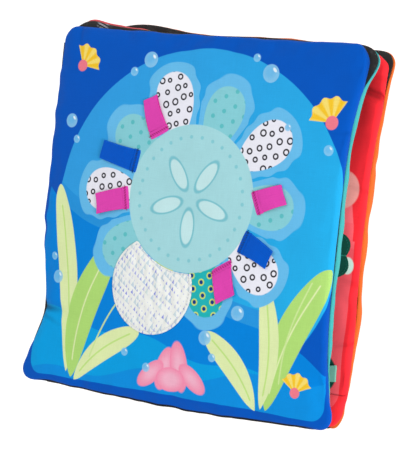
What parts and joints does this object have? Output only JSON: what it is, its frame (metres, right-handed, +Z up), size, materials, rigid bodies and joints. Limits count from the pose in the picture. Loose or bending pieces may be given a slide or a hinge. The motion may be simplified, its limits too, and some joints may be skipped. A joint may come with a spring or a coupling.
{
  "type": "baby activity mat",
  "caption": "Padded baby activity mat that folds in quarters, with printed pads on a black base cloth, ribbon tag loops and a crinkle patch.",
  "frame": {"origin": "middle of the folded mat's footprint, on the surface that it lies on", "axes": "+Z up through the stack of folded pads, +Y towards the free top edges of the pads, away from the spine, +X towards their free side edges, away from the back folds"},
  "size_m": [0.36, 0.3628, 0.0701],
  "materials": {
    "blue_print": "printed brushed polyester",
    "teal_print": "printed brushed polyester",
    "red_print": "printed brushed polyester",
    "orange_print": "printed brushed polyester",
    "black_cloth": "plain woven base cloth",
    "wadding": "polyester wadding",
    "crinkle_cloth": "pearly laminated cloth",
    "crinkle_film": "thin crackling film",
    "pink_ribbon": "satin ribbon",
    "blue_ribbon": "satin ribbon",
    "green_ribbon": "satin ribbon",
    "leaf_cloth": "dark green sewn-on cloth"
  },
  "bodies": {
    "red_pad": {"red_face_cover": "red_print", "red_batting": "wadding", "red_backing": "black_cloth", "leaf_applique": "leaf_cloth"},
    "inner_spine": {"inner_spine_strip": "black_cloth"},
    "teal_pad": {"teal_face_cover": "teal_print", "teal_batting": "wadding", "teal_backing": "black_cloth"},
    "blue_pad": {"blue_face_cover": "blue_print", "blue_batting": "wadding", "blue_backing": "black_cloth", "crinkle_film": "crinkle_film", "crinkle_patch": "crinkle_cloth"},
    "orange_pad": {"orange_face_cover": "orange_print", "orange_batting": "wadding", "orange_backing": "black_cloth"},
    "outer_spine": {"outer_spine_strip": "black_cloth"},
    "pink_top_loop": {"tag_pink_top": "pink_ribbon"},
    "blue_upper_left_loop": {"tag_blue_upper_left": "blue_ribbon"},
    "pink_left_loop": {"tag_pink_left": "pink_ribbon"},
    "pink_right_loop": {"tag_pink_right": "pink_ribbon"},
    "blue_right_loop": {"tag_blue_right": "blue_ribbon"},
    "pink_lower_loop": {"tag_pink_lower": "pink_ribbon"},
    "green_loop": {"tag_green": "green_ribbon"}
  },
  "joints": [
    {"name": "spine_fold_lower", "type": "hinge", "parent": "red_pad", "child": "inner_spine", "pos_m": [0.0019, -0.17992, 0.0158], "axis": [1, 0, 0], "range_deg": [0, 90]},
    {"name": "spine_fold_upper", "type": "hinge", "parent": "inner_spine", "child": "teal_pad", "pos_m": [0.0019, -0.17992, 0.0508], "axis": [1, 0, 0], "range_deg": [0, 90]},
    {"name": "spine_fold_outer", "type": "hinge", "parent": "orange_pad", "child": "outer_spine", "pos_m": [0.0019, -0.18022, 0.0155], "axis": [1, 0, 0], "range_deg": [0, 90]},
    {"name": "back_fold_upper", "type": "hinge", "parent": "teal_pad", "child": "blue_pad", "pos_m": [-0.1801, 0.0018, 0.05095], "axis": [0, -1, 0], "range_deg": [0, 180]},
    {"name": "back_fold_lower", "type": "hinge", "parent": "red_pad", "child": "orange_pad", "pos_m": [-0.1801, 0.0018, 0.01565], "axis": [0, 1, 0], "range_deg": [0, 180]},
    {"name": "pink_top_flip", "type": "hinge", "parent": "blue_pad", "child": "pink_top_loop", "pos_m": [-0.04113, 0.08553, 0.06742], "axis": [0.8746, 0.4848, -0.007], "range_deg": [0, 120]},
    {"name": "blue_upper_left_flip", "type": "hinge", "parent": "blue_pad", "child": "blue_upper_left_loop", "pos_m": [-0.06748, 0.05269, 0.06765], "axis": [0.174, 0.9847, -0.006], "range_deg": [0, 120]},
    {"name": "pink_left_flip", "type": "hinge", "parent": "blue_pad", "child": "pink_left_loop", "pos_m": [-0.07382, 0.01381, 0.06768], "axis": [-0.2251, 0.9743, -0.005], "range_deg": [0, 120]},
    {"name": "pink_right_flip", "type": "hinge", "parent": "blue_pad", "child": "pink_right_loop", "pos_m": [0.08578, 0.02567, 0.06748], "axis": [0.3911, -0.9203, -0.008], "range_deg": [0, 120]},
    {"name": "blue_right_flip", "type": "hinge", "parent": "blue_pad", "child": "blue_right_loop", "pos_m": [0.07688, -0.01616, 0.06769], "axis": [-0.3419, -0.9397, 0.006], "range_deg": [0, 120]},
    {"name": "pink_lower_flip", "type": "hinge", "parent": "blue_pad", "child": "pink_lower_loop", "pos_m": [0.0518, -0.04476, 0.06793], "axis": [-0.9702, -0.2421, 0.007], "range_deg": [0, 120]},
    {"name": "green_flip", "type": "hinge", "parent": "red_pad", "child": "green_loop", "pos_m": [0.13594, -0.12625, 0.02863], "axis": [0, -0.9995, -0.033], "range_deg": [0, 8]}
  ],
  "couplings": [
    {"joint": "spine_fold_upper", "follows": "spine_fold_lower", "ratio": 1},
    {"joint": "spine_fold_outer", "follows": "spine_fold_lower", "ratio": 1},
    {"joint": "back_fold_lower", "follows": "back_fold_upper", "ratio": 1}
  ]
}
